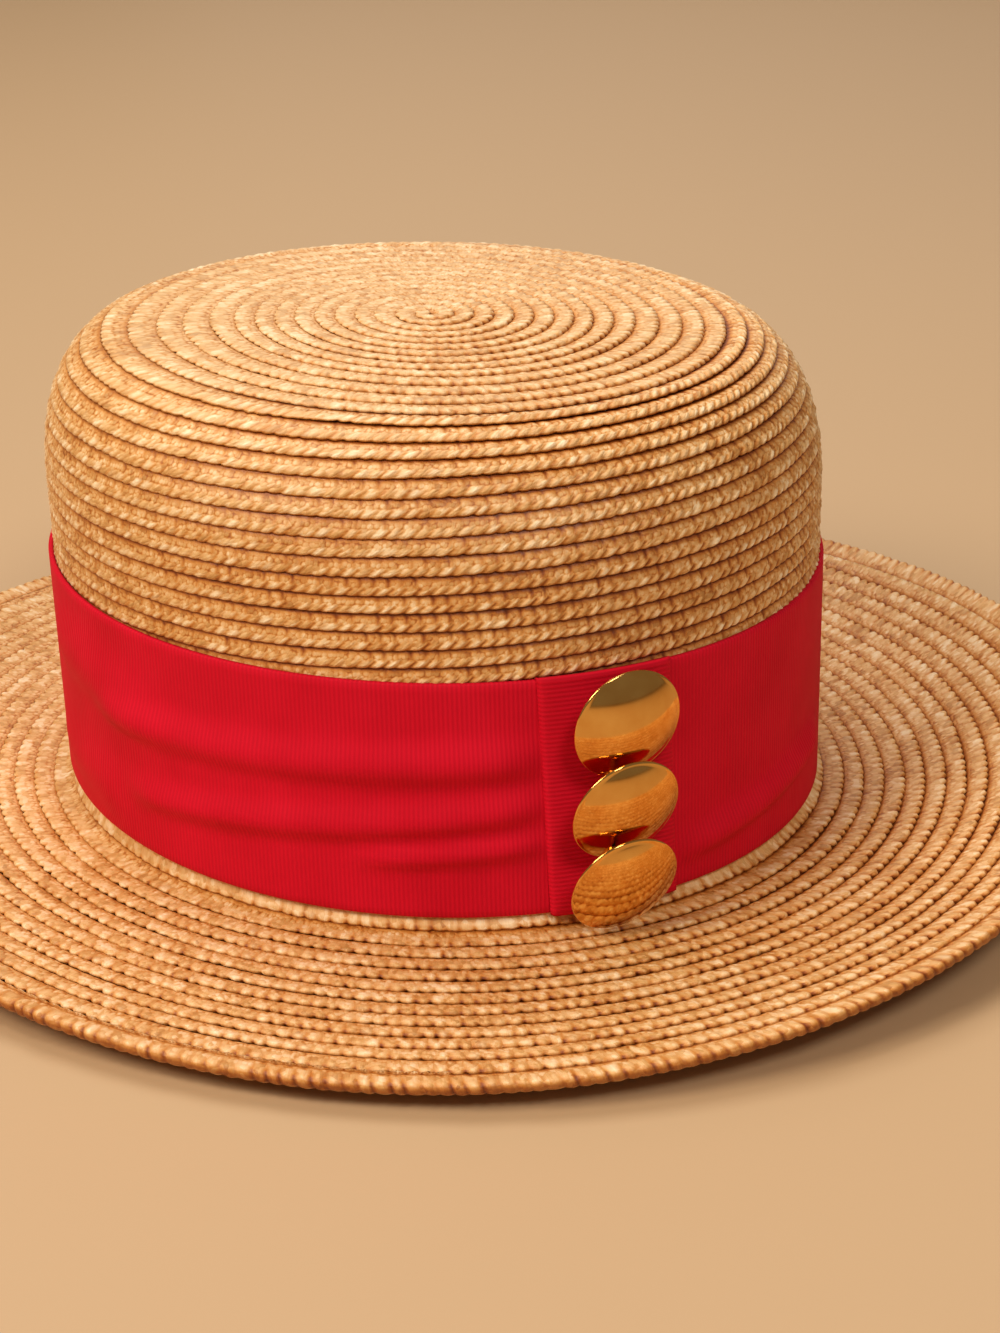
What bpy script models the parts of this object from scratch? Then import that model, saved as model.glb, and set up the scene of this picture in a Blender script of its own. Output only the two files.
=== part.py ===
"""Straw boater hat with a ribbon band, a ribbon keeper and three domed buttons.

Metres, +Z up. The hat lies on its brim on the plane z = 0, with its front at -Y.
The origin is on that plane, under the middle of the brim.
"""
import bpy
import bmesh
from math import atan2, cos, hypot, pi, radians, sin, sqrt
from mathutils import Matrix, Vector

# Clearance between pieces that touch on the real hat
GAP = 0.0003

# Crown: an oval wall, a rounded shoulder and a nearly flat tip
CROWN_HALF_WIDTH = 0.0946
CROWN_HALF_DEPTH = 0.0906
CROWN_HEIGHT = 0.1205
CROWN_WALL = 0.0022
CROWN_SHIFT = -0.0017
CROWN_LEAN = -0.0049
SHOULDER_RUN = 0.0225
SHOULDER_DROP = 0.0352
SHOULDER_POWER = 2.19
TIP_DOME = 0.0018

# Brim: a collar that turns up under the crown, and a wide flat with a rolled right side
BRIM_HALF_WIDTH = 0.1639
BRIM_HALF_DEPTH = 0.1613
BRIM_WALL = 0.0025
COLLAR_HEIGHT = 0.0160
COLLAR_BEND = 0.0042
BRIM_FLAT = 0.0080
BRIM_RISE = 0.0199
BRIM_CURL = 1.7

# Height of the brim's edge round the hat, as a share of BRIM_RISE
BRIM_EDGE = (
    # bearing in degrees from +X, rise
    {"bearing": 0, "rise": 1.00},
    {"bearing": 45, "rise": 0.73},
    {"bearing": 90, "rise": 0.22},
    {"bearing": 135, "rise": 0.17},
    {"bearing": 180, "rise": 0.40},
    {"bearing": 225, "rise": 0.33},
    {"bearing": 270, "rise": 0.24},
    {"bearing": 315, "rise": 0.63},
)

# Ribbon band round the foot of the crown
RIBBON_WALL = 0.0012
RIBBON_WIDTH = 0.0586
RIBBON_LIFT = 0.0028
RIBBON_LIFT_POWER = 3
FOLD_DEPTH = 0.0014
FOLD_HALF_WIDTH = 0.0050
FOLD_FADE = 9.0

# Soft folds in the band; heights are shares of RIBBON_WIDTH, depths shares of FOLD_DEPTH
RIBBON_FOLDS = (
    {"start": -168, "end": -84, "start_height": 0.60, "end_height": 0.66, "depth": 0.8},
    {"start": -160, "end": -84, "start_height": 0.38, "end_height": 0.48, "depth": 1.0},
    {"start": -150, "end": -84, "start_height": 0.12, "end_height": 0.29, "depth": 0.9},
    {"start": -48, "end": -14, "start_height": 0.12, "end_height": 0.34, "depth": 0.8},
)

# Keeper: an upright wrap of ribbon over the band's join
KEEPER_BEARING = -65.7
KEEPER_WIDTH = 0.0320
KEEPER_SLANT = 1.3
KEEPER_WALL = 0.0012

# Buttons: domed discs on short shanks, each a little over the one above it
BUTTON_RADIUS = 0.01325
BUTTON_DOME = 0.0040
BUTTON_RIM = 0.0008
BUTTON_SWING = 3.2
SHANK_RADIUS = 0.0022

# Each button's height as a share of RIBBON_WIDTH, its bearing, its stand-off from the keeper,
# and the tilt of its top edge outwards
BUTTONS = (
    {"name": "button_top", "height": 0.836, "bearing": -66.0, "stand_off": 0.0058, "tilt": 5.0},
    {"name": "button_middle", "height": 0.487, "bearing": -66.6, "stand_off": 0.0070, "tilt": 12.4},
    {"name": "button_lower", "height": 0.177, "bearing": -67.1, "stand_off": 0.0080, "tilt": 15.3},
)

# How finely the round pieces are divided
ROUND_STEPS = 60
WALL_STEPS = 3
SHOULDER_STEPS = 7
TIP_STEPS = 3
BRIM_STEPS = 7
BEND_STEPS = 4
BAND_STEPS = 10
KEEPER_STEPS = 6
KEEPER_ROWS = 3
BUTTON_STEPS = 20
DOME_STEPS = 5

# Edges sharper than this stay crisp, and points nearer than MERGE are one
SHARP_ANGLE = 35
MERGE = 0.00001

# Colour, metallic and roughness of each finish
FINISHES = {
    "straw": ((0.60, 0.36, 0.13), 0.0, 0.60),
    "ribbon": ((0.62, 0.01, 0.04), 0.0, 0.80),
    "brass": ((0.76, 0.47, 0.14), 1.0, 0.20),
}

CROWN_FOOT = COLLAR_HEIGHT + GAP
KEEPER_STAND = GAP + RIBBON_WALL + GAP
# The band stands a little above the hollow of the brim's bend
RIBBON_FOOT = BRIM_WALL + COLLAR_BEND - sqrt(COLLAR_BEND ** 2 - (COLLAR_BEND - GAP) ** 2) + 2 * GAP


def clear_scene():
    for obj in list(bpy.data.objects):
        bpy.data.objects.remove(obj, do_unlink=True)


def new_collection(name):
    collection = bpy.data.collections.new(name)
    bpy.context.scene.collection.children.link(collection)
    return collection


def finish_material(name, finish):
    colour, metallic, roughness = FINISHES[finish]
    material = bpy.data.materials.new(name)
    material.use_nodes = True
    shader = material.node_tree.nodes["Principled BSDF"]
    shader.inputs["Base Color"].default_value = (*colour, 1.0)
    shader.inputs["Metallic"].default_value = metallic
    shader.inputs["Roughness"].default_value = roughness
    return material


def add_piece(name, bm, finish, collection):
    """Turn a bmesh into a named, smooth-shaded object with its own material."""
    mesh = bpy.data.meshes.new(name)
    bm.to_mesh(mesh)
    bm.free()
    mesh.shade_smooth()
    mesh.set_sharp_from_angle(angle=radians(SHARP_ANGLE))
    mesh.materials.append(finish_material(name, finish))
    obj = bpy.data.objects.new(name, mesh)
    collection.objects.link(obj)
    return obj


def thicken(obj, thickness, outwards):
    """Give an open surface its wall, on the side its faces point to or behind them."""
    wall = obj.modifiers.new("wall", "SOLIDIFY")
    wall.thickness = thickness
    wall.offset = 1.0 if outwards else -1.0
    wall.use_even_offset = True
    return wall


def spin_profile(points, steps=ROUND_STEPS, turn=2 * pi, closed_tip=False):
    """Sweep a chain of (radius, height) points round Z and return the surface."""
    bm = bmesh.new()
    verts = [bm.verts.new((radius, 0.0, height)) for radius, height in points]
    edges = [bm.edges.new(pair) for pair in zip(verts, verts[1:])]
    bmesh.ops.spin(
        bm, geom=verts + edges, cent=(0, 0, 0), axis=(0, 0, 1),
        angle=turn, steps=steps, use_merge=abs(turn - 2 * pi) < 1e-9, use_duplicate=False)
    if closed_tip:
        on_axis = [v for v in bm.verts if hypot(v.co.x, v.co.y) < MERGE]
        bmesh.ops.remove_doubles(bm, verts=on_axis, dist=MERGE)
    bmesh.ops.recalc_face_normals(bm, faces=bm.faces)
    return bm


def face_outwards(bm, outward):
    """Turn the whole surface over unless its faces point the way outward(face) says."""
    score = sum(face.normal.dot(outward(face)) * face.calc_area() for face in bm.faces)
    if score < 0:
        bmesh.ops.reverse_faces(bm, faces=bm.faces)


def lean_at(height):
    """Sideways shift of the crown's middle at a height."""
    return CROWN_SHIFT + CROWN_LEAN * height / CROWN_HEIGHT


def wall_point(bearing, stand_off, height):
    """A point outside the crown's straight wall, by its stand-off from the straw."""
    return Vector((
        lean_at(height) + (CROWN_HALF_WIDTH + stand_off) * cos(bearing),
        (CROWN_HALF_DEPTH + stand_off) * sin(bearing),
        height))


def wall_normal(bearing):
    """Level direction straight out of the crown's oval wall."""
    return Vector((cos(bearing) / CROWN_HALF_WIDTH, sin(bearing) / CROWN_HALF_DEPTH, 0)).normalized()


def smooth_step(value):
    value = min(max(value, 0.0), 1.0)
    return value * value * (3 - 2 * value)


def around(rows, column, bearing):
    """Read a table that runs once round the hat, with a smooth curve through its rows."""
    degrees = bearing * 180 / pi % 360
    count = len(rows)
    step = 360 / count
    place = degrees / step
    row = int(place) % count
    t = place - int(place)
    before, start, end, after = (rows[(row + k) % count][column] for k in (-1, 0, 1, 2))
    slope_start = (end - before) / 2
    slope_end = (after - start) / 2
    return (
        start * (1 + 2 * t) * (1 - t) ** 2 + slope_start * t * (1 - t) ** 2
        + end * t * t * (3 - 2 * t) + slope_end * t * t * (t - 1))


def crown_profile():
    """The crown's outer line from its foot to the middle of the tip."""
    shoulder_foot = CROWN_HEIGHT - TIP_DOME - SHOULDER_DROP
    tip_radius = CROWN_HALF_WIDTH - SHOULDER_RUN
    rise = (shoulder_foot - CROWN_FOOT) / WALL_STEPS
    points = [(CROWN_HALF_WIDTH, CROWN_FOOT + rise * step) for step in range(WALL_STEPS)]
    for step in range(SHOULDER_STEPS + 1):
        turn = pi / 2 * (1 - step / SHOULDER_STEPS)
        out = sin(turn) ** (2 / SHOULDER_POWER)
        up = cos(turn) ** (2 / SHOULDER_POWER) if step else 0.0
        points.append((tip_radius + SHOULDER_RUN * out, shoulder_foot + SHOULDER_DROP * up))
    for step in range(1, TIP_STEPS + 1):
        share = 1 - step / TIP_STEPS
        points.append((tip_radius * share, CROWN_HEIGHT - TIP_DOME * share ** 2))
    return points


def make_crown(collection):
    bm = spin_profile(crown_profile(), closed_tip=True)
    for vert in bm.verts:
        share = hypot(vert.co.x, vert.co.y) / CROWN_HALF_WIDTH
        bearing = atan2(vert.co.y, vert.co.x)
        vert.co.x = lean_at(vert.co.z) + share * CROWN_HALF_WIDTH * cos(bearing)
        vert.co.y = share * CROWN_HALF_DEPTH * sin(bearing)
    bm.normal_update()
    middle = Vector((CROWN_SHIFT, 0, CROWN_HEIGHT / 2))
    face_outwards(bm, lambda face: face.calc_center_median() - middle)
    crown = add_piece("crown", bm, "straw", collection)
    thicken(crown, CROWN_WALL, outwards=False)
    return crown


def brim_lift(bearing, share):
    """Height of the brim's underside, by how far out it is between the flat and the edge."""
    return BRIM_RISE * around(BRIM_EDGE, "rise", bearing) * max(share, 0.0) ** BRIM_CURL


def brim_profile():
    """The brim's inner and under line, from the collar's top to the edge, as (radius, height)."""
    inside = CROWN_HALF_WIDTH - BRIM_WALL
    bend = COLLAR_BEND + BRIM_WALL
    points = [(inside, COLLAR_HEIGHT), (inside, bend)]
    for step in range(1, BEND_STEPS + 1):
        turn = pi / 2 * step / BEND_STEPS
        points.append((inside + bend * (1 - cos(turn)), bend * (1 - sin(turn))))
    flat_end = inside + bend + BRIM_FLAT
    points.append((flat_end, 0.0))
    for step in range(1, BRIM_STEPS + 1):
        points.append((flat_end + (BRIM_HALF_WIDTH - flat_end) * step / BRIM_STEPS, 0.0))
    return points


def make_brim(collection):
    flat_end = CROWN_HALF_WIDTH + COLLAR_BEND + BRIM_FLAT
    bm = spin_profile(brim_profile())
    for vert in bm.verts:
        radius = hypot(vert.co.x, vert.co.y)
        bearing = atan2(vert.co.y, vert.co.x)
        share = (radius - flat_end) / (BRIM_HALF_WIDTH - flat_end)
        if share <= 0:
            vert.co = wall_point(bearing, radius - CROWN_HALF_WIDTH, vert.co.z)
            continue
        inner = wall_point(bearing, flat_end - CROWN_HALF_WIDTH, 0.0)
        edge = Vector((BRIM_HALF_WIDTH * cos(bearing), BRIM_HALF_DEPTH * sin(bearing), 0.0))
        vert.co = inner.lerp(edge, share)
        vert.co.z = brim_lift(bearing, share)
    bm.normal_update()
    # The surface is the brim's inside and underside, so its wall grows up and outwards
    face_outwards(bm, lambda face: Vector((0, 0, 1)))
    brim = add_piece("brim", bm, "straw", collection)
    thicken(brim, BRIM_WALL, outwards=True)
    return brim


def band_foot(bearing):
    """Height of the band's lower edge, which has ridden up on the left."""
    return RIBBON_FOOT + RIBBON_LIFT * ((1 - cos(bearing)) / 2) ** RIBBON_LIFT_POWER


def fold_height(bearing, height_share):
    """How far the band stands out in its soft folds at a place."""
    degrees = (bearing * 180 / pi + 180) % 360 - 180
    out = 0.0
    for fold in RIBBON_FOLDS:
        along = (degrees - fold["start"]) / (fold["end"] - fold["start"])
        if not 0 < along < 1:
            continue
        ends = min(degrees - fold["start"], fold["end"] - degrees) / FOLD_FADE
        centre = fold["start_height"] + along * (fold["end_height"] - fold["start_height"])
        away = (height_share - centre) * RIBBON_WIDTH / FOLD_HALF_WIDTH
        out += fold["depth"] * FOLD_DEPTH * smooth_step(ends) * max(0.0, 1 - away * away) ** 2
    return out


def make_ribbon_band(collection):
    points = [(CROWN_HALF_WIDTH + GAP, step / BAND_STEPS) for step in range(BAND_STEPS + 1)]
    bm = spin_profile(points)
    for vert in bm.verts:
        bearing = atan2(vert.co.y, vert.co.x)
        share = vert.co.z
        foot = band_foot(bearing)
        height = foot + share * (RIBBON_FOOT + RIBBON_WIDTH - foot)
        vert.co = wall_point(bearing, GAP + fold_height(bearing, share), height)
    bm.normal_update()
    face_outwards(bm, lambda face: Vector((face.calc_center_median().x, face.calc_center_median().y, 0)))
    band = add_piece("ribbon_band", bm, "ribbon", collection)
    thicken(band, RIBBON_WALL, outwards=True)
    return band


def make_ribbon_keeper(collection):
    """A strip over the band, turned in over the band's upper edge to meet the crown."""
    mean_radius = sqrt(CROWN_HALF_WIDTH * CROWN_HALF_DEPTH) + KEEPER_STAND
    half_turn = KEEPER_WIDTH / mean_radius / 2
    top = RIBBON_FOOT + RIBBON_WIDTH + GAP
    rows = [(GAP, top), (KEEPER_STAND, top)]
    for step in range(1, KEEPER_ROWS + 1):
        rows.append((KEEPER_STAND, top + (RIBBON_FOOT - top) * step / KEEPER_ROWS))
    points = [(CROWN_HALF_WIDTH + stand, height) for stand, height in rows]
    bm = spin_profile(points, steps=KEEPER_STEPS, turn=2 * half_turn)
    for vert in bm.verts:
        stand = hypot(vert.co.x, vert.co.y) - CROWN_HALF_WIDTH
        slant = radians(KEEPER_SLANT) * (vert.co.z - RIBBON_FOOT) / RIBBON_WIDTH
        bearing = atan2(vert.co.y, vert.co.x) - half_turn + radians(KEEPER_BEARING) - slant
        vert.co = wall_point(bearing, stand, vert.co.z)
    bm.normal_update()
    outward = wall_normal(radians(KEEPER_BEARING)) + Vector((0, 0, 1))
    face_outwards(bm, lambda face: outward)
    keeper = add_piece("ribbon_keeper", bm, "ribbon", collection)
    thicken(keeper, KEEPER_WALL, outwards=True)
    return keeper


def button_profile(shank_length):
    """Half section of a button, from the front of its dome round to the end of its shank."""
    sphere = (BUTTON_RADIUS ** 2 + BUTTON_DOME ** 2) / (2 * BUTTON_DOME)
    points = []
    for step in range(DOME_STEPS + 1):
        radius = BUTTON_RADIUS * step / DOME_STEPS
        points.append((radius, sqrt(sphere ** 2 - radius ** 2) - sphere + BUTTON_DOME))
    points.append((BUTTON_RADIUS, -BUTTON_RIM / 2))
    points.append((BUTTON_RADIUS - BUTTON_RIM / 2, -BUTTON_RIM))
    points.append((SHANK_RADIUS, -BUTTON_RIM))
    points.append((SHANK_RADIUS, -shank_length))
    points.append((0.0, -shank_length))
    return points


def make_button(row, collection):
    """Turn a button about its own axis and seat its shank on the keeper."""
    bearing = radians(row["bearing"])
    tilt = radians(row["tilt"])
    seat = wall_point(bearing, KEEPER_STAND + KEEPER_WALL, RIBBON_FOOT + row["height"] * RIBBON_WIDTH)
    out = wall_normal(bearing)
    # A tilted shank keeps its nearest corner a gap clear of the keeper
    shank_length = (row["stand_off"] - GAP - SHANK_RADIUS * sin(tilt)) / cos(tilt)
    bm = bmesh.new()
    points = button_profile(shank_length)
    verts = [bm.verts.new((radius, 0.0, height)) for radius, height in points]
    for pair in zip(verts, verts[1:]):
        bm.edges.new(pair)
    button = add_piece(row["name"], bm, "brass", collection)
    turn = button.modifiers.new("turn", "SCREW")
    turn.axis = "Z"
    turn.steps = BUTTON_STEPS
    turn.render_steps = BUTTON_STEPS
    turn.use_merge_vertices = True
    turn.merge_threshold = MERGE
    turn.use_smooth_shade = True
    swing = Matrix.Rotation(radians(BUTTON_SWING), 3, "Z")
    facing = swing @ out
    normal = (facing * cos(tilt) + Vector((0, 0, -sin(tilt)))).normalized()
    button.location = seat + out * row["stand_off"]
    button.rotation_euler = normal.to_track_quat("Z", "Y").to_euler()
    return button


def main():
    clear_scene()
    parts = new_collection("straw_boater_hat")
    make_crown(parts)
    make_brim(parts)
    make_ribbon_band(parts)
    make_ribbon_keeper(parts)
    for row in BUTTONS:
        make_button(row, parts)


main()
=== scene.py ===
"""Looks of a straw boater hat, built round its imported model.

Metres, +Z up, front at -Y, in the frame of the solids. The straw is a plaited braid wound in
one spiral over the crown and one over the brim, each row lapping over the next one out.
"""
from math import cos, pi, radians, sin, sqrt
import bmesh
import bpy
import numpy as np
from mathutils import Matrix, Vector


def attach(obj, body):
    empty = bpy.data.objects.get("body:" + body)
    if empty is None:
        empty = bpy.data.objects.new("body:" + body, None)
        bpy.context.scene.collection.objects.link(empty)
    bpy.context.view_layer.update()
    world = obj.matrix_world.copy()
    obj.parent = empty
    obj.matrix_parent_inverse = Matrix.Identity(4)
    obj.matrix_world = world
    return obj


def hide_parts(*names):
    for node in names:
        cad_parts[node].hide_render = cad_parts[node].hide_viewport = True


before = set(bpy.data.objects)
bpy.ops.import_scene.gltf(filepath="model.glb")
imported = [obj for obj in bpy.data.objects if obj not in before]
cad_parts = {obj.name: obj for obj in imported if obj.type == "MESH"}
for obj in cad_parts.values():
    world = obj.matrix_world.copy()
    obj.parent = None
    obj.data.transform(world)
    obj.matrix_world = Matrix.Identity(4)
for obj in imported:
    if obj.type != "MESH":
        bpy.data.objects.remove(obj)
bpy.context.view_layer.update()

MM = 0.001
GAP = 0.3 * MM

# Crown, as in the solids
CROWN_HALF_WIDTH = 94.6 * MM
CROWN_HALF_DEPTH = 90.6 * MM
CROWN_HEIGHT = 120.5 * MM
CROWN_WALL = 2.2 * MM
CROWN_SHIFT = -1.7 * MM
CROWN_LEAN = -4.9 * MM
SHOULDER_RUN = 22.5 * MM
SHOULDER_DROP = 35.2 * MM
SHOULDER_POWER = 2.19
TIP_DOME = 1.8 * MM

# Brim, as in the solids
BRIM_HALF_WIDTH = 163.9 * MM
BRIM_HALF_DEPTH = 161.3 * MM
BRIM_WALL = 2.5 * MM
COLLAR_HEIGHT = 16.0 * MM
COLLAR_BEND = 4.2 * MM
BRIM_FLAT = 8.0 * MM
BRIM_RISE = 19.9 * MM
BRIM_CURL = 1.7

# Height of the brim's edge as a share of its rise, every 45 degrees from +X
BRIM_EDGE = (1.00, 0.73, 0.22, 0.17, 0.40, 0.33, 0.24, 0.63)

# Ribbon, as in the solids
RIBBON_WALL = 1.2 * MM
RIBBON_WIDTH = 58.6 * MM
RIBBON_LIFT = 2.8 * MM
RIBBON_LIFT_POWER = 3
RIBBON_FOOT = BRIM_WALL + COLLAR_BEND - sqrt(COLLAR_BEND ** 2 - (COLLAR_BEND - GAP) ** 2) + 2 * GAP
# Its woven edges are this share of its width and of its wall, and its ribs this far apart in mm
RIBBON_EDGE_SHARE = 0.006
RIBBON_EDGE_WALL = 0.75
RIBBON_RIB = 1.0
RIBBON_COLUMNS = 600
RIBBON_LINES = 34
FOLD_DEPTH = 3.3 * MM
FOLD_DROP = 0.6
FOLD_FADE = 9.0

# Soft folds in the band. start and end are bearings in degrees, the heights shares of the
# ribbon's width there, half_width millimetres, and depth a share of FOLD_DEPTH.
RIBBON_FOLDS = (
    {"start": -166, "end": -128, "heights": (0.80, 0.66), "half_width": 13.0, "depth": 0.55},
    {"start": -168, "end": -138, "heights": (0.30, 0.20), "half_width": 12.0, "depth": 0.4},
    {"start": -148, "end": -73, "heights": (0.60, 0.70), "half_width": 7.2, "depth": 0.6},
    {"start": -142, "end": -73, "heights": (0.27, 0.50), "half_width": 6.0, "depth": 0.6},
    {"start": -104, "end": -73, "heights": (0.25, 0.33), "half_width": 4.4, "depth": 0.5},
    {"start": -58, "end": -14, "heights": (0.16, 0.34), "half_width": 6.0, "depth": 0.75},
)

# Keeper, as in the solids
KEEPER_BEARING = -65.7
KEEPER_WIDTH = 32.0 * MM
KEEPER_SLANT = 1.3
KEEPER_WALL = 1.2 * MM
KEEPER_STAND = GAP + RIBBON_WALL + GAP
# It is tucked in behind the band's upper edge, at these shares of its height, with a thinner wall
KEEPER_TUCK = (1.0, 1.012, 1.015)
KEEPER_TUCK_WALL = 0.3
# The higher this is, the squarer are its upright edges
KEEPER_EDGE_POWER = 24
KEEPER_COLUMNS = 60
KEEPER_LINES = 60
KEEPER_RIB = 1.1

# Buttons, as in the solids
BUTTON_RADIUS = 13.25 * MM
BUTTON_DOME = 4.0 * MM
BUTTON_RIM = 0.8 * MM
BUTTON_SWING = 3.2
SHANK_RADIUS = 2.2 * MM
# The button's back: the step in from its rim, and the collar at the shank's root
BACK_RADIUS_SHARE = 0.8
BACK_STEP_SHARE = 0.2
ROOT_RADIUS_SHARE = 1.3
ROOT_HEIGHT_SHARE = 1.4
DOME_STEPS = 22
RIM_STEPS = 6
SPIN_STEPS = 72
BUTTON_CREASE = 50
BUTTONS = (
    {"name": "button_top", "height": 0.836, "bearing": -66.0, "stand_off": 5.8, "tilt": 5.0},
    {"name": "button_middle", "height": 0.487, "bearing": -66.6, "stand_off": 7.0, "tilt": 12.4},
    {"name": "button_lower", "height": 0.177, "bearing": -67.1, "stand_off": 8.0, "tilt": 15.3},
)

# Plait: row number and way along the skin in millimetres, between which its rows lie evenly
CROWN_ROW_STARTS = ((0, 0.0), (10, 48.3), (15, 78.3), (16, 83.4), (40, 185.9))
BRIM_ROW_STARTS = ((-0.5, 0.3), (3, 19.1), (13, 69.3), (15, 81.7))
# Rows are counted from the front of the hat, three quarters of a turn round from +X
ROW_PHASE = 0.75
ROW_WIDTH = 4.3
# Rows at which the strips of plait begin and end, at the back of the hat wherever that shows
CROWN_FIRST_ROW = 0.25
TIP_LAST_ROW = 14.25
# The shoulder's plait starts a hair under the tip's last stitch, so that no notch shows there
SHOULDER_FIRST_ROW = 14.244
SHOULDER_LAST_ROW = 23.25
WALL_LAST_ROW = 32.25
CROWN_LAST_ROW = 40.75
BRIM_FIRST_ROW = -0.75
BRIM_MIDDLE_ROW = 8.25
BRIM_LAST_ROW = 14
WALL_STITCH = 3.0 * MM
BRIM_STITCH = 3.2 * MM
LINING_STITCH = 3.6 * MM
# How far the plait underneath is sunk, so that its stitches stay within the straw's thickness
UNDER_SINK = 0.4 * MM
# The plait lies close on the far left and looser towards the front right, by this share, and its gaps'
# painted shade darkens with it
LOOSENESS = 0.45
LOOSE_SIDE = -30.0
# Share of the stitches' relief that is left where the brim turns up under the band's foot
BEND_RELIEF = 0.3
# The crown's rows lie square to its lean, so they climb towards +X, but not on the tip and the foot
ROW_CLIMB = 0.053
CLIMB_WAYS = (50 * MM, 105 * MM, 142 * MM, 175 * MM)

# Stitches. A pair holds the least share and what chance adds to it at most.
NOTCH_DEPTHS = (0.6, 0.8)
SMALL_NOTCH_DEPTHS = (0.4, 1.2)
# How dark the painted shade in the notches between stitches is
NOTCH_DARKNESS = (0.4, 0.8)
SMALL_NOTCH_DARKNESS = (0.2, 1.1)
LIP_DRAWS = (0.4, 1.2)
NOTCH_POWER = 3
SWELL_SHARE = 0.5
SMALL_SWELL_SHARE = 1.0
SMALL_TONE_SHARE = 0.8
# Share of the painted shade along the cells' seams that the big outer stitches keep
OUTER_CELL_SHARE = 0.25
# Painted highlights: only the luckiest stitches are painted pale, and only where they stand proud
PAINTED_HIGHLIGHT_START = 0.6
PAINTED_HIGHLIGHT_POWER = 1.5
PAINTED_HIGHLIGHT_FULL_NOTCH = 2.5
# How far stitches sway along the plait, in stitches, and across it, in millimetres
SWAY_ALONG = 0.07
SWAY_ACROSS = 0.05
# The plait's lip wanders by this many millimetres, over this many stitches
WANDER_ACROSS = 0.12
WANDER_STITCHES = 6
# Where across a row its lip begins, how wide it is, and where the outer stitches are measured
LIP_START = 0.7
LIP_WIDTH = 0.3
LIP_MIDDLE = 0.75
# Rows nearer the tip's middle than this take their direction from here
POLE_WAY = 0.8 * MM
# Steps in which the skins' lines and the plait's length are worked out
TIP_STEPS = 120
SHOULDER_STEPS = 160
WALL_STEPS = 80
ROW_STEPS = 90
RIM_LENGTH_STEPS = 720
# Mesh columns to a stitch, where the plait shows and where it shows little
STITCH_COLUMNS = 4
PLAIN_COLUMNS = 2
# Points nearer than this are welded
WELD = 0.001 * MM

# Section of the plait across one row. across is the share of the row from the lip above,
# height the millimetres above the hat's skin, low and high how deep the notches between the
# big outer stitches and the small inner ones are, slide how far the line is slipped along
# the plait in stitches, shade how much painted shade it holds everywhere, and gap how much
# painted shade it holds in the notches.
PLAIT_SECTION = (
    {"across": -0.20, "height": -0.64, "low": 0.00, "high": 0.00, "slide": 0.22, "shade": 1.00, "gap": 1.0},
    {"across": 0.02, "height": -0.42, "low": 0.00, "high": 0.10, "slide": 0.30, "shade": 0.90, "gap": 1.0},
    {"across": 0.14, "height": -0.22, "low": 0.00, "high": 0.20, "slide": 0.36, "shade": 0.42, "gap": 0.7},
    {"across": 0.29, "height": 0.02, "low": 0.00, "high": 0.26, "slide": 0.38, "shade": 0.10, "gap": 0.5},
    {"across": 0.45, "height": 0.14, "low": 0.12, "high": 0.18, "slide": 0.34, "shade": 0.00, "gap": 0.4},
    {"across": 0.61, "height": 0.36, "low": 0.40, "high": 0.00, "slide": 0.16, "shade": 0.00, "gap": 0.5},
    {"across": 0.77, "height": 0.44, "low": 0.46, "high": 0.00, "slide": -0.08, "shade": 0.00, "gap": 0.5},
    {"across": 0.91, "height": 0.22, "low": 0.22, "high": 0.00, "slide": -0.26, "shade": 0.10, "gap": 0.5},
    {"across": 1.00, "height": -0.16, "low": 0.04, "high": 0.00, "slide": -0.32, "shade": 0.60, "gap": 0.8},
    {"across": 0.45, "height": -0.85, "low": 0.00, "high": 0.00, "slide": -0.20, "shade": 1.00, "gap": 1.0},
)
# Flatter plait, ironed down, as on the tip and the brim
IRONED_SECTION = (
    {"across": -0.20, "height": -0.90, "low": 0.00, "high": 0.00, "slide": 0.00, "shade": 1.00, "gap": 1.0},
    {"across": -0.03, "height": -0.32, "low": 0.00, "high": 0.05, "slide": 0.00, "shade": 0.62, "gap": 1.0},
    {"across": 0.09, "height": -0.12, "low": 0.00, "high": 0.12, "slide": 0.02, "shade": 0.32, "gap": 0.5},
    {"across": 0.27, "height": 0.04, "low": 0.00, "high": 0.14, "slide": 0.04, "shade": 0.04, "gap": 0.3},
    {"across": 0.50, "height": 0.14, "low": 0.12, "high": 0.06, "slide": 0.06, "shade": 0.00, "gap": 0.3},
    {"across": 0.72, "height": 0.24, "low": 0.22, "high": 0.00, "slide": 0.08, "shade": 0.00, "gap": 0.3},
    {"across": 0.91, "height": 0.24, "low": 0.28, "high": 0.00, "slide": 0.10, "shade": 0.04, "gap": 0.75},
    {"across": 1.00, "height": -0.24, "low": 0.14, "high": 0.00, "slide": 0.12, "shade": 0.28, "gap": 1.0},
    {"across": 0.45, "height": -1.60, "low": 0.00, "high": 0.00, "slide": 0.06, "shade": 1.00, "gap": 1.0},
)
# The same, with fewer lines, where the plait is seen little: inside, underneath and under the band
PLAIN_SECTION = (
    {"across": -0.15, "height": -0.60, "low": 0.00, "high": 0.00, "slide": 0.00, "shade": 0.90, "gap": 1.0},
    {"across": 0.12, "height": -0.25, "low": 0.00, "high": 0.16, "slide": 0.10, "shade": 0.40, "gap": 0.7},
    {"across": 0.50, "height": 0.16, "low": 0.16, "high": 0.06, "slide": 0.26, "shade": 0.00, "gap": 0.4},
    {"across": 0.82, "height": 0.40, "low": 0.26, "high": 0.00, "slide": -0.06, "shade": 0.00, "gap": 0.5},
    {"across": 1.00, "height": -0.20, "low": 0.00, "high": 0.00, "slide": -0.20, "shade": 0.60, "gap": 0.8},
    {"across": 0.45, "height": -0.75, "low": 0.00, "high": 0.00, "slide": -0.10, "shade": 1.00, "gap": 1.0},
)
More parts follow.
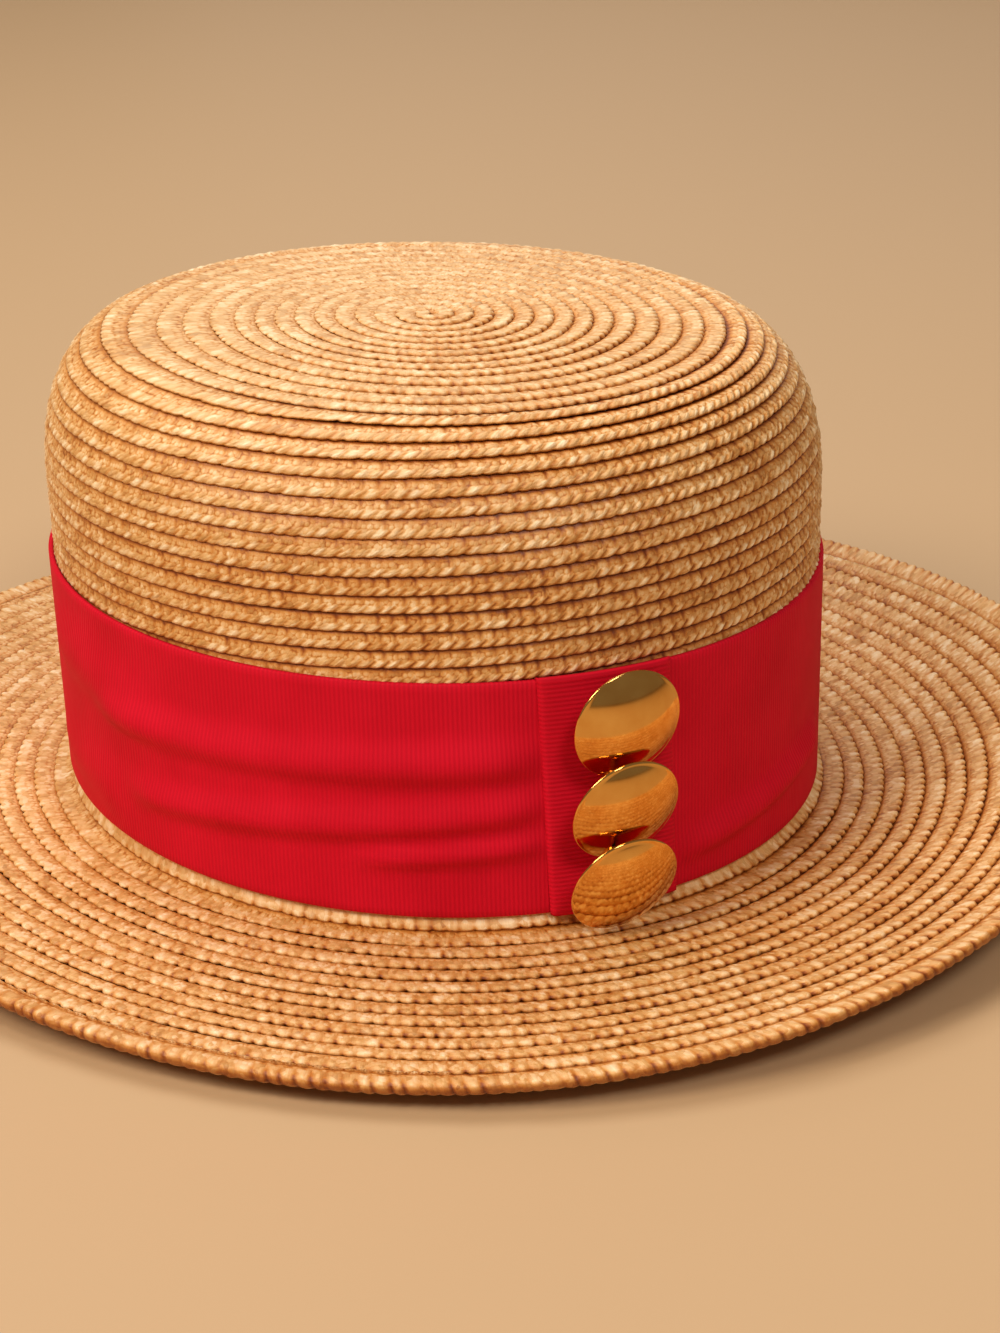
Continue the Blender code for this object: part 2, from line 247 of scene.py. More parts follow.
# The row that wraps the brim's edge, from under the row inside it, over the edge and back below.
# inset is how far in from the edge a line lies and height how far above the brim's top, both in
# millimetres. Lines lower than EDGE_MIDDLE swell downwards. Within EDGE_NOSE millimetres of the
# edge, the row draws back between stitches by EDGE_SCALLOP and sways by EDGE_SWAY.
EDGE_MIDDLE = -1
EDGE_NOSE = 2
EDGE_SCALLOP = 0.50
EDGE_SWAY = 0.10
EDGE_LINE_STEP = 0.6
EDGE_SECTION = (
    {"inset": 7.2, "height": -0.62, "low": 0.00, "high": 0.00, "slide": 0.00, "shade": 1.00, "gap": 1.0},
    {"inset": 6.0, "height": -0.38, "low": 0.00, "high": 0.06, "slide": 0.02, "shade": 0.60, "gap": 0.8},
    {"inset": 4.9, "height": -0.06, "low": 0.00, "high": 0.12, "slide": 0.05, "shade": 0.10, "gap": 0.4},
    {"inset": 3.6, "height": 0.16, "low": 0.10, "high": 0.06, "slide": 0.08, "shade": 0.00, "gap": 0.3},
    {"inset": 2.0, "height": 0.28, "low": 0.22, "high": 0.00, "slide": 0.12, "shade": 0.00, "gap": 0.4},
    {"inset": 0.6, "height": 0.24, "low": 0.26, "high": 0.00, "slide": 0.16, "shade": 0.04, "gap": 0.75},
    {"inset": 0.0, "height": -0.24, "low": 0.22, "high": 0.00, "slide": 0.20, "shade": 0.34, "gap": 1.0},
    {"inset": 0.0, "height": -1.00, "low": 0.20, "high": 0.00, "slide": 0.26, "shade": 0.62, "gap": 1.0},
    {"inset": 0.2, "height": -1.90, "low": 0.24, "high": 0.00, "slide": 0.34, "shade": 0.62, "gap": 1.0},
    {"inset": 1.2, "height": -2.60, "low": 0.20, "high": 0.00, "slide": 0.44, "shade": 0.30, "gap": 0.7},
    {"inset": 3.0, "height": -2.75, "low": 0.12, "high": 0.06, "slide": 0.44, "shade": 0.05, "gap": 0.4},
    {"inset": 5.0, "height": -2.50, "low": 0.00, "high": 0.12, "slide": 0.40, "shade": 0.30, "gap": 0.5},
    {"inset": 7.0, "height": -2.00, "low": 0.00, "high": 0.00, "slide": 0.30, "shade": 1.00, "gap": 1.0},
)

# Camera: where it stands, how it is turned, and how long its lens is for a picture 1333 high
CAMERA_PLACE = Vector((-1.7, -591.3, 296.5)) * MM
CAMERA_PITCH = 0.4276
CAMERA_YAW = 0.0230
CAMERA_ROLL = 0.0176
PICTURE_HEIGHT = 1333
CAMERA_FOCAL = 2535.3
SENSOR = 36.0

# Finishes: how many fibres and cells lie in a millimetre along the plait and across it, and how
# many patches in a metre
FIBRES_PER_MM = (4.0, 0.8, 1.0)
CELLS_PER_MM = (1.0, 1.3, 1.0)
STRAW_PATCHES_PER_M = 45.0
RIBBON_PATCHES_PER_M = 60.0
BRASS_SMUDGES_PER_M = 160.0
# The wave texture draws this many bands to a unit at a scale of 1
WAVE_BANDS = 20 / (2 * pi)
# Heights between which the straw is painted paler towards the tip, a painted sheen, and by how much
PAINTED_SHEEN_HEIGHTS = (106 * MM, 120 * MM)
PAINTED_SHEEN_SHARE = 0.14

# Soft lights: where each stands, the point it faces, its width in metres, its watts and tint
LIGHTS = (
    {"name": "key", "place": (-1.37, -0.9, 1.59), "aim": (0, 0, 0.05),
     "width": 0.84, "watts": 34.0, "tint": "#FFF0DC"},
    {"name": "front", "place": (0.4, -0.95, 1.2), "aim": (0, 0, 0.05),
     "width": 0.35, "watts": 8.0, "tint": "#FFF4E6"},
    {"name": "top", "place": (-0.3, 0.4, 1.35), "aim": (0, 0, 0.08),
     "width": 0.8, "watts": 10.0, "tint": "#FFF8F0"},
    {"name": "back", "place": (0.2, 1.3, 0.55), "aim": (0, 0, 0.1),
     "width": 0.9, "watts": 1.5, "tint": "#FFF8F0"},
)
ROOM_TINT = "#C2B09C"
ROOM_STRENGTH = 0.4
FLOOR_RADIUS = 8.0
FLOOR_SIDES = 180


# Shapes of the hat's skin

def around(values, bearing):
    """Read a row of values that runs once round the hat, with a smooth curve through them."""
    values = np.asarray(values)
    count = len(values)
    place = np.degrees(bearing) % 360 * count / 360
    row = np.floor(place).astype(int)
    t = place - row
    before, start, end, after = (values[(row + k) % count] for k in (-1, 0, 1, 2))
    slope_start = (end - before) / 2
    slope_end = (after - start) / 2
    return (
        start * (1 + 2 * t) * (1 - t) ** 2 + slope_start * t * (1 - t) ** 2
        + end * t * t * (3 - 2 * t) + slope_end * t * t * (t - 1))


def smooth_step(value):
    """Ease a share from 0 to 1."""
    value = np.clip(value, 0.0, 1.0)
    return value * value * (3 - 2 * value)


def lean_at(height):
    """How far the crown's middle stands to the side at a height."""
    return CROWN_SHIFT + CROWN_LEAN * height / CROWN_HEIGHT


def wall_point(bearing, stand_off, height):
    """Points outside the crown's straight wall, by their stand-off from the straw."""
    return np.stack([
        lean_at(height) + (CROWN_HALF_WIDTH + stand_off) * np.cos(bearing),
        (CROWN_HALF_DEPTH + stand_off) * np.sin(bearing),
        height + 0 * bearing], axis=-1)


def crown_line():
    """The crown's outer line from the middle of the tip down: way along it, radius, height."""
    tip_radius = CROWN_HALF_WIDTH - SHOULDER_RUN
    shoulder_foot = CROWN_HEIGHT - TIP_DOME - SHOULDER_DROP
    share = np.linspace(0, 1, TIP_STEPS)
    turn = np.linspace(0, pi / 2, SHOULDER_STEPS)[1:]
    wall = np.linspace(shoulder_foot, 0.0, WALL_STEPS)[1:]
    radius = np.concatenate([
        tip_radius * share,
        tip_radius + SHOULDER_RUN * np.sin(turn) ** (2 / SHOULDER_POWER),
        np.full(len(wall), CROWN_HALF_WIDTH)])
    height = np.concatenate([
        CROWN_HEIGHT - TIP_DOME * share ** 2,
        shoulder_foot + SHOULDER_DROP * np.cos(turn) ** (2 / SHOULDER_POWER),
        wall])
    way = np.concatenate([[0.0], np.cumsum(np.hypot(np.diff(radius), np.diff(height)))])
    return way, radius, height


CROWN_WAY, CROWN_RADII, CROWN_HEIGHTS = crown_line()


def crown_skin(way, bearing):
    """Points of the crown's outside, by the way from the middle of its tip."""
    radius = np.interp(way, CROWN_WAY, CROWN_RADII)
    height = np.interp(way, CROWN_WAY, CROWN_HEIGHTS)
    return np.stack([
        lean_at(height) + radius * np.cos(bearing),
        radius * CROWN_HALF_DEPTH / CROWN_HALF_WIDTH * np.sin(bearing),
        height], axis=-1)


# Way along the brim's section: collar, bend, flat, and the wide part that turns up
BEND_WAY = COLLAR_HEIGHT - BRIM_WALL - COLLAR_BEND
FLAT_WAY = BEND_WAY + COLLAR_BEND * pi / 2
DISH_WAY = FLAT_WAY + BRIM_FLAT
DISH_OFFSET = COLLAR_BEND + BRIM_FLAT
DISH_WIDTH = (BRIM_HALF_WIDTH + BRIM_HALF_DEPTH - CROWN_HALF_WIDTH - CROWN_HALF_DEPTH) / 2 - DISH_OFFSET
EDGE_WAY = DISH_WAY + DISH_WIDTH


def brim_skin(way, bearing):
    """Points of the brim's top, by the way down the collar and out to the edge."""
    turn = np.clip((way - BEND_WAY) / COLLAR_BEND, 0, pi / 2)
    share = np.maximum((way - DISH_WAY) / DISH_WIDTH, 0)
    off = COLLAR_BEND * (1 - np.cos(turn)) + np.clip(way - FLAT_WAY, 0, BRIM_FLAT)
    height = COLLAR_HEIGHT - np.clip(way, -COLLAR_HEIGHT, BEND_WAY) - COLLAR_BEND * np.sin(turn)
    inner = wall_point(bearing, off, height)
    lift = BRIM_RISE * around(BRIM_EDGE, bearing) * share ** BRIM_CURL
    edge = np.stack([
        BRIM_HALF_WIDTH * np.cos(bearing),
        BRIM_HALF_DEPTH * np.sin(bearing),
        height + lift * 0], axis=-1)
    point = inner + (edge - inner) * share[..., None]
    point[..., 2] = height + lift
    return point


def skin_normal(skin, way, bearing):
    """Direction out of a skin, from points a little way round each place."""
    step = 0.3 * MM
    turn = 0.004
    along = skin(way + step, bearing) - skin(way - step, bearing)
    across = skin(way, bearing + turn) - skin(way, bearing - turn)
    normal = np.cross(along, across)
    return normal / np.linalg.norm(normal, axis=-1, keepdims=True)


# Meshes

def new_piece(name, mesh, material, nodes=()):
    """Link a finished mesh, put it on the hat's body and hide the solids it stands for."""
    mesh.materials.append(material)
    piece = bpy.data.objects.new(name, mesh)
    bpy.context.scene.collection.objects.link(piece)
    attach(piece, "root")
    if nodes:
        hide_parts(*nodes)
    return piece


def grid_mesh(name, columns, lines):
    """A flat grid as a mesh, with the column and line number of each of its points."""
    bm = bmesh.new()
    bmesh.ops.create_grid(bm, x_segments=columns, y_segments=lines, size=0.5)
    mesh = bpy.data.meshes.new(name)
    bm.to_mesh(mesh)
    bm.free()
    flat = np.empty(len(mesh.vertices) * 3, np.float32)
    mesh.vertices.foreach_get("co", flat)
    flat = flat.reshape(-1, 3)
    column = np.rint((flat[:, 0] + 0.5) * columns).astype(int)
    line = np.rint((flat[:, 1] + 0.5) * lines).astype(int)
    return mesh, column, line


def place_grid(mesh, points, uvs, colours=None):
    """Move a grid's points into place and give them their map and their tones."""
    mesh.vertices.foreach_set("co", points.astype(np.float32).ravel())
    corner = np.empty(len(mesh.loops), np.int32)
    mesh.loops.foreach_get("vertex_index", corner)
    layer = mesh.uv_layers.new(name="weave")
    layer.data.foreach_set("uv", uvs[corner].astype(np.float32).ravel())
    if colours is not None:
        tones = mesh.color_attributes.new("plait", "FLOAT_COLOR", "POINT")
        tones.data.foreach_set("color", colours.astype(np.float32).ravel())


def close_seams(mesh, cap=True):
    """Weld the edges of a rolled-up grid, cap its ends, and turn its faces outwards."""
    bm = bmesh.new()
    bm.from_mesh(mesh)
    rim = [vert for vert in bm.verts if vert.is_boundary]
    bmesh.ops.remove_doubles(bm, verts=rim, dist=WELD)
    if cap:
        ends = [edge for edge in bm.edges if edge.is_boundary]
        bmesh.ops.holes_fill(bm, edges=ends, sides=0)
    bmesh.ops.recalc_face_normals(bm, faces=bm.faces)
    bm.to_mesh(mesh)
    bm.free()
    mesh.shade_smooth()


def stitch_draws(count, draw):
    """Chance values for each stitch along a plait, one named row of them each."""
    names = ("tone", "swell", "painted_highlight", "small_tone", "small_swell", "pit", "draw_back")
    values = dict(zip(names, draw.random((len(names), count + 2))))
    values["sway"] = draw.normal(0, 1, count + 2)
    knots = draw.normal(0, 1, count // WANDER_STITCHES + 4)
    values["wander"] = np.interp(
        np.arange(count + 2) / WANDER_STITCHES, np.arange(len(knots)), knots)
    return values


def by_chance(span, value):
    """A share that a chance value sets within a span."""
    least, spread = span
    return least + spread * value


def section_lines(section, line):
    """The section's values at each point of a grid, by the point's line."""
    line_of = line % len(section)
    return {key: np.array([row[key] for row in section])[line_of] for key in section[0]}


def stitch_relief(column, columns, take, chance):
    """Notch shares, height in millimetres and tones of a plait's points, with their painted shade and
    painted highlights.
    """
    big = column // columns
    small = (column + columns // 2) // columns
    notch = np.abs(np.cos(pi * column / columns)) ** NOTCH_POWER
    small_notch = np.abs(np.sin(pi * column / columns)) ** NOTCH_POWER
    low = take["low"]
    high = take["high"]
    height = (
        take["height"] - low * notch * by_chance(NOTCH_DEPTHS, chance["swell"][big])
        - high * small_notch * by_chance(SMALL_NOTCH_DEPTHS, chance["small_swell"][small])
        + SWELL_SHARE * low * (chance["swell"][big] - 0.5)
        + SMALL_SWELL_SHARE * high * (chance["small_swell"][small] - 0.5))
    outer = low >= high
    tone = np.where(outer, chance["tone"][big], SMALL_TONE_SHARE * chance["small_tone"][small])
    # Painted shade: dark in the notches between stitches, and wherever the section holds shade
    groove = np.where(
        outer, notch * by_chance(NOTCH_DARKNESS, chance["pit"][big]),
        small_notch * by_chance(SMALL_NOTCH_DARKNESS, chance["pit"][small]))
    dark = np.clip(np.maximum(take["shade"], take["gap"] * groove), 0, 1)
    # Painted highlights on the luckiest stitches, strongest where they stand proud
    pale = np.clip((chance["painted_highlight"][big] - PAINTED_HIGHLIGHT_START) / (1 - PAINTED_HIGHLIGHT_START), 0, 1) ** PAINTED_HIGHLIGHT_POWER
    painted_highlight = pale * (1 - notch) * np.clip(low * PAINTED_HIGHLIGHT_FULL_NOTCH, 0, 1) ** 2
    cells = np.where(outer, OUTER_CELL_SHARE, 1.0)
    return notch, height, np.stack([tone, dark, painted_highlight, cells], axis=-1)


def climb(way, bearing):
    """How far up its skin the crown's plait climbs at a place, towards +X."""
    start, full, fade, end = CLIMB_WAYS
    share = smooth_step((way - start) / (full - start)) - smooth_step((way - fade) / (end - fade))
    return ROW_CLIMB * CROWN_HALF_WIDTH * np.cos(bearing) * share


def relief_left(skin, way):
    """Share of the stitches' relief that is left at a place, less where the brim bends."""
    if skin is not brim_skin:
        return 1.0
    past_bend = smooth_step((way - BEND_WAY) / (DISH_WAY - BEND_WAY))
    return BEND_RELIEF + (1 - BEND_RELIEF) * past_bend


def plait_lengths(skin, row_way, rows):
    """A fine table of rows, with the length of plait wound up to each of them."""
    table = np.linspace(rows[0], rows[1], int((rows[1] - rows[0]) * ROW_STEPS) + 2)
    lip_way = row_way(np.maximum(table + LIP_MIDDLE, LIP_MIDDLE + ROW_PHASE))
    centre = (skin(lip_way, 0 * table) + skin(lip_way, 0 * table + pi)) / 2
    reach = [np.linalg.norm(skin(lip_way, 0 * table + b) - centre, axis=-1) for b in (0, pi / 2)]
    radius = (reach[0] + reach[1]) / 2
    length = np.concatenate([[0], np.cumsum(2 * pi * (radius[1:] + radius[:-1]) / 2 * np.diff(table))])
    return table, length


def plait_strip(
        name, skin, row_way, rows, section, stitch, columns=STITCH_COLUMNS, side=1, seed=1,
        scallop=0.25, gap_shade=1.0, rise=1.0):
    """One closed strip of plait, wound over a skin from row rows[0] to row rows[1].

    side 1 lays it on top of the skin. side -1 lays it underneath, lapping the other way.
    scallop is how far its lip draws back between stitches, in millimetres, gap_shade how dark
    the painted shade in its gaps is, and rise how much bolder than its section it stands out.
    """
    table, length = plait_lengths(skin, row_way, rows)
    stitches = int(length[-1] / stitch)
    stitch = length[-1] / stitches
    mesh, column, line = grid_mesh(name, stitches * columns, len(section))
    take = section_lines(section, line)
    chance = stitch_draws(stitches, np.random.default_rng(seed))
    notch, height, tones = stitch_relief(column, columns, take, chance)
    place = column / columns
    stops = np.arange(stitches + 2)
    sway, wander, draw_back = (
        np.interp(place, stops, chance[key]) for key in ("sway", "wander", "draw_back"))
    along = (place + side * take["slide"] + SWAY_ALONG * sway) * stitch
    row = np.interp(along, length, table)
    bearing = 2 * pi * row
    loose = 1 + LOOSENESS * np.cos(bearing - radians(LOOSE_SIDE))
    calm = relief_left(skin, row_way(row))
    height = (take["height"] + (height - take["height"]) * calm) * (1 + (rise * loose - 1) * calm)
    # Painted shade in the gaps, made darker where the plait lies looser, towards the front right
    tones[:, 1] = np.clip(tones[:, 1] * gap_shade * loose, 0, 1)
    across = take["across"]
    lip = np.clip((across - LIP_START) / LIP_WIDTH, 0, 1)
    drawn = scallop * calm * notch * by_chance(LIP_DRAWS, draw_back) + SWAY_ACROSS * sway
    strayed = WANDER_ACROSS * wander * np.clip(across * 2 - 1, 0, 1)
    across = across - (lip * drawn + strayed) / ROW_WIDTH
    if side < 0:
        across = 1 - across
    way = row_way(row + across)
    if skin is crown_skin:
        way = way - climb(way, bearing)
    normal = skin_normal(skin, np.maximum(way, POLE_WAY), bearing)
    points = skin(way, bearing) + normal * (side * height * MM)[:, None]
    if side < 0:
        points = points - normal * (CROWN_WALL if skin is crown_skin else BRIM_WALL) + normal * UNDER_SINK
    uvs = np.stack([place * stitch / MM, line * ROW_WIDTH / (len(section) - 2)], axis=-1)
    place_grid(mesh, points, uvs, tones)
    close_seams(mesh)
    return mesh


def edge_plait(name, stitch, columns, seed):
    """The closed row of plait that wraps the brim's edge."""
    turn = np.linspace(0, 2 * pi, RIM_LENGTH_STEPS + 1)
    rim = brim_skin(np.full(len(turn), EDGE_WAY), turn)
    length = np.concatenate([[0], np.cumsum(np.linalg.norm(np.diff(rim, axis=0), axis=-1))])
    stitches = int(length[-1] / stitch)
    mesh, column, line = grid_mesh(name, stitches * columns, len(EDGE_SECTION))
    take = section_lines(EDGE_SECTION, line)
    chance = stitch_draws(stitches, np.random.default_rng(seed))
    for values in chance.values():
        values[stitches:] = values[:len(values) - stitches]
    notch, height, tones = stitch_relief(column, columns, take, chance)
    sway = np.interp(column / columns, np.arange(stitches + 2), chance["sway"])
    along = (column / columns + take["slide"] + SWAY_ALONG * sway) * length[-1] / stitches
    bearing = np.interp(along % length[-1], length, turn)
    nose = np.clip(1 - take["inset"] / EDGE_NOSE, 0, 1)
    inset = take["inset"] + nose * (EDGE_SCALLOP * notch + EDGE_SWAY * sway)
    way = EDGE_WAY - inset * MM
    below = take["height"] < EDGE_MIDDLE
    lift = np.where(below, 2 * take["height"] - height, height)
    normal = skin_normal(brim_skin, way, bearing)
    points = brim_skin(way, bearing) + normal * (lift * MM)[:, None]
    uvs = np.stack([column / columns * stitch / MM, line * EDGE_LINE_STEP], axis=-1)
    place_grid(mesh, points, uvs, tones)
    close_seams(mesh, cap=False)
    return mesh


def crown_rows(row):
    """Way from the middle of the tip to a row's upper edge; the last row ends at the collar's top."""
    numbers, ways = zip(*CROWN_ROW_STARTS)
    return np.interp(row - ROW_PHASE, numbers, ways) * MM


def brim_rows(row):
    """Way from the collar's top to a row's inner edge; the last row runs out against the edge's."""
    numbers, ways = zip(*BRIM_ROW_STARTS)
    return np.interp(np.minimum(row - ROW_PHASE, BRIM_LAST_ROW), numbers, ways) * MM


# Materials

def linear(hex_colour):
    """A linear colour from an sRGB hex value."""
    channels = [int(hex_colour[i:i + 2], 16) / 255 for i in (1, 3, 5)]
    return (*[c / 12.92 if c <= 0.04045 else ((c + 0.055) / 1.055) ** 2.4 for c in channels], 1.0)


def add_node(tree, kind, values=None, links=None, **settings):
    """Add a node, with its settings, the values of its sockets and the sockets linked to them."""
    made = tree.nodes.new(kind)
    for name, value in settings.items():
        setattr(made, name, value)
    for name, value in (values or {}).items():
        made.inputs[name].default_value = value
    for name, source in (links or {}).items():
        tree.links.new(source, made.inputs[name])
    return made


def fill_ramp(ramp, stops):
    """Give a colour ramp its stops, as (place, hex colour) rows."""
    elements = ramp.color_ramp.elements
    while len(elements) > 1:
        elements.remove(elements[-1])
    elements[0].position, elements[0].color = stops[0][0], linear(stops[0][1])
    for place, tint in stops[1:]:
        elements.new(place).color = linear(tint)


def new_material(name):
    """A material with its node tree and its shader."""
    material = bpy.data.materials.new(name)
    material.use_nodes = True
    tree = material.node_tree
    return material, tree, tree.nodes["Principled BSDF"]


def varnished_straw():
    """Natural rye-straw plait under a thin varnish: golden, with painted highlights and brown painted shade
    in its gaps.
    """
    material, tree, shader = new_material("varnished_straw_plait")
    tones = add_node(tree, "ShaderNodeAttribute", attribute_name="plait")
    split = add_node(tree, "ShaderNodeSeparateColor", links={"Color": tones.outputs["Color"]})
    weave = add_node(tree, "ShaderNodeUVMap", uv_map="weave")
    fibre_place = add_node(
        tree, "ShaderNodeMapping", {"Scale": FIBRES_PER_MM}, {"Vector": weave.outputs["UV"]})
    fibres = add_node(
        tree, "ShaderNodeTexNoise", {"Scale": 1.0, "Detail": 3.0, "Roughness": 0.6},
        {"Vector": fibre_place.outputs["Vector"]})
    cell_place = add_node(
        tree, "ShaderNodeMapping", {"Scale": CELLS_PER_MM}, {"Vector": weave.outputs["UV"]})
    cells = add_node(
        tree, "ShaderNodeTexVoronoi", {"Scale": 1.0, "Randomness": 0.75},
        {"Vector": cell_place.outputs["Vector"]}, voronoi_dimensions="2D")
    cell_tone = add_node(tree, "ShaderNodeSeparateColor", links={"Color": cells.outputs["Color"]})
    place = add_node(tree, "ShaderNodeTexCoord")
    patches = add_node(
        tree, "ShaderNodeTexNoise", {"Scale": STRAW_PATCHES_PER_M, "Detail": 2.0},
        {"Vector": place.outputs["Object"]})
    total = split.outputs["Red"]
    others = (fibres.outputs["Fac"], cell_tone.outputs["Red"], patches.outputs["Fac"])
    for source in others:
        total = add_node(
            tree, "ShaderNodeMath", links={0: total, 1: source}, operation="ADD").outputs[0]
    share = add_node(
        tree, "ShaderNodeMath", {1: 1 / (1 + len(others))}, {0: total}, operation="MULTIPLY")
    straw = add_node(tree, "ShaderNodeValToRGB", links={"Fac": share.outputs[0]})
    fill_ramp(straw, [(0.26, "#BC8A4D"), (0.40, "#D6A768"), (0.54, "#E6BF87"), (0.72, "#F4DFBA")])
    part = add_node(tree, "ShaderNodeSeparateXYZ", links={"Vector": place.outputs["Object"]})
    # Painted sheen: the straw is painted paler towards the top of the tip
    painted_sheen = add_node(
        tree, "ShaderNodeMapRange",
        {"From Min": PAINTED_SHEEN_HEIGHTS[0], "From Max": PAINTED_SHEEN_HEIGHTS[1], "To Max": PAINTED_SHEEN_SHARE},
        {"Value": part.outputs["Z"]})
    with_painted_sheen = add_node(
        tree, "ShaderNodeMix", {"B": linear("#FFEFD2")},
        {"Factor": painted_sheen.outputs["Result"], "A": straw.outputs["Color"]}, data_type="RGBA")
    # Painted highlights: the stitches' Blue tone mixes the straw towards pale cream
    pale = add_node(
        tree, "ShaderNodeMix", {"B": linear("#FFF0D0")},
        {"Factor": split.outputs["Blue"], "A": with_painted_sheen.outputs["Result"]}, data_type="RGBA")
    # Painted shade: the plait's own, from its Green tone, and along the cells' seams, darkening the straw
    # through the ramp below
    seams = add_node(
        tree, "ShaderNodeMapRange", {"From Min": 0.3, "From Max": 0.8, "To Max": 0.6},
        {"Value": cells.outputs["Distance"]})
    fine = add_node(
        tree, "ShaderNodeMath", links={0: tones.outputs["Alpha"], 1: seams.outputs["Result"]},
        operation="MULTIPLY")
    gaps = add_node(
        tree, "ShaderNodeMath", links={0: split.outputs["Green"], 1: fine.outputs[0]},
        operation="MAXIMUM")
    depth = add_node(tree, "ShaderNodeValToRGB", links={"Fac": gaps.outputs[0]})
    fill_ramp(depth, [(0.0, "#FFFFFF"), (0.35, "#E6BE88"), (0.7, "#B0743A"), (1.0, "#7E460A")])
    dark = add_node(
        tree, "ShaderNodeMix", {"Factor": 1.0},
        {"A": pale.outputs["Result"], "B": depth.outputs["Color"]},
        data_type="RGBA", blend_type="MULTIPLY")
    tree.links.new(dark.outputs["Result"], shader.inputs["Base Color"])
    cell_bump = add_node(
        tree, "ShaderNodeBump", {"Strength": 0.5, "Distance": 0.25 * MM},
        {"Height": cells.outputs["Distance"]}, invert=True)
    bump = add_node(
        tree, "ShaderNodeBump", {"Strength": 0.5, "Distance": 0.08 * MM},
        {"Height": fibres.outputs["Fac"], "Normal": cell_bump.outputs["Normal"]})
    tree.links.new(bump.outputs["Normal"], shader.inputs["Normal"])
    shader.inputs["Roughness"].default_value = 0.48
    shader.inputs["IOR"].default_value = 1.5
    shader.inputs["Specular IOR Level"].default_value = 0.35
    shader.inputs["Coat Weight"].default_value = 0.15
    shader.inputs["Coat Roughness"].default_value = 0.35
    return material


def grosgrain(name, rib_mm, along):
    """Viscose grosgrain: a close ribbed weave whose ribs catch the light as a soft sheen."""
    material, tree, shader = new_material(name)
    weave = add_node(tree, "ShaderNodeUVMap", uv_map="weave")
    ribs = add_node(
        tree, "ShaderNodeTexWave",
        {"Scale": 1 / WAVE_BANDS / rib_mm, "Distortion": 0.15, "Detail": 1.0},
        {"Vector": weave.outputs["UV"]}, bands_direction=along)
    place = add_node(tree, "ShaderNodeTexCoord")
    patches = add_node(
        tree, "ShaderNodeTexNoise", {"Scale": RIBBON_PATCHES_PER_M, "Detail": 3.0},
        {"Vector": place.outputs["Object"]})
    tint = add_node(tree, "ShaderNodeValToRGB", links={"Fac": patches.outputs["Fac"]})
    fill_ramp(tint, [(0.3, "#CC0425"), (0.7, "#D80A2C")])
    furrow = add_node(
        # Painted shade in the furrows between the ribs, mixed towards a dark red
        tree, "ShaderNodeMath", {0: 1.0}, {1: ribs.outputs["Fac"]}, operation="SUBTRACT")
    shade = add_node(
        tree, "ShaderNodeMath", {0: 0.22}, {1: furrow.outputs[0]}, operation="MULTIPLY")
    shaded = add_node(
        tree, "ShaderNodeMix", {"B": linear("#7A0010")},
        {"A": tint.outputs["Color"], "Factor": shade.outputs[0]}, data_type="RGBA")
    tree.links.new(shaded.outputs["Result"], shader.inputs["Base Color"])
    bump = add_node(
        tree, "ShaderNodeBump", {"Strength": 0.5, "Distance": 0.12 * MM},
        {"Height": ribs.outputs["Fac"]})
    tree.links.new(bump.outputs["Normal"], shader.inputs["Normal"])
    shader.inputs["Roughness"].default_value = 0.75
    shader.inputs["Specular IOR Level"].default_value = 0.3
    shader.inputs["IOR"].default_value = 1.35
    return material


def polished_brass():
    """Pressed and polished brass, with faint wiping marks under the lacquer."""
    material, tree, shader = new_material("polished_brass")
    place = add_node(tree, "ShaderNodeTexCoord")
    smudge = add_node(
        tree, "ShaderNodeTexNoise", {"Scale": BRASS_SMUDGES_PER_M, "Detail": 4.0},
        {"Vector": place.outputs["Object"]})
    rough = add_node(
        tree, "ShaderNodeMapRange", {"To Min": 0.06, "To Max": 0.16},
        {"Value": smudge.outputs["Fac"]})
    tint = add_node(tree, "ShaderNodeValToRGB", links={"Fac": smudge.outputs["Fac"]})
    fill_ramp(tint, [(0.3, "#DDA556"), (0.7, "#E8B868")])
    tree.links.new(rough.outputs["Result"], shader.inputs["Roughness"])
    tree.links.new(tint.outputs["Color"], shader.inputs["Base Color"])
    shader.inputs["Metallic"].default_value = 1.0
    return material


def pale_floor():
    """Matt painted board, a pale warm tan."""
    material, tree, shader = new_material("matt_board")
    shader.inputs["Base Color"].default_value = linear("#C0A27E")
    shader.inputs["Roughness"].default_value = 0.6
    return material


# Pieces

def sew_strips(strips, skin, row_way, stitch, straw, node, first_seed):
    """Wind the strips of one part; the first one stands for the part's solid."""
    for number, strip in enumerate(strips):
        options = {"stitch": stitch, "seed": first_seed + number, **strip}
        mesh = plait_strip(skin=skin, row_way=row_way, **options)
        new_piece(strip["name"], mesh, straw, [node] if number == 0 else [])


def make_crown(straw):
    """The crown's plait, outside and inside, in strips that hand over to each other at the back."""
    strips = (
        {"name": "crown_tip_plait", "rows": (CROWN_FIRST_ROW, TIP_LAST_ROW),
         "section": IRONED_SECTION, "scallop": 0.4, "gap_shade": 0.65, "rise": 1.15},
        {"name": "crown_shoulder_plait", "rows": (SHOULDER_FIRST_ROW, SHOULDER_LAST_ROW),
         "section": PLAIT_SECTION, "scallop": 0.2, "gap_shade": 0.75},
        {"name": "crown_wall_plait", "rows": (SHOULDER_LAST_ROW, WALL_LAST_ROW),
         "section": PLAIT_SECTION, "scallop": 0.12},
        {"name": "crown_plait_under_band", "rows": (WALL_LAST_ROW, CROWN_LAST_ROW),
         "section": PLAIN_SECTION, "columns": PLAIN_COLUMNS},
        {"name": "crown_lining_plait", "rows": (CROWN_FIRST_ROW, CROWN_LAST_ROW),
         "section": PLAIN_SECTION, "columns": PLAIN_COLUMNS, "side": -1, "stitch": LINING_STITCH},
    )
    sew_strips(strips, crown_skin, crown_rows, WALL_STITCH, straw, "crown", first_seed=1)


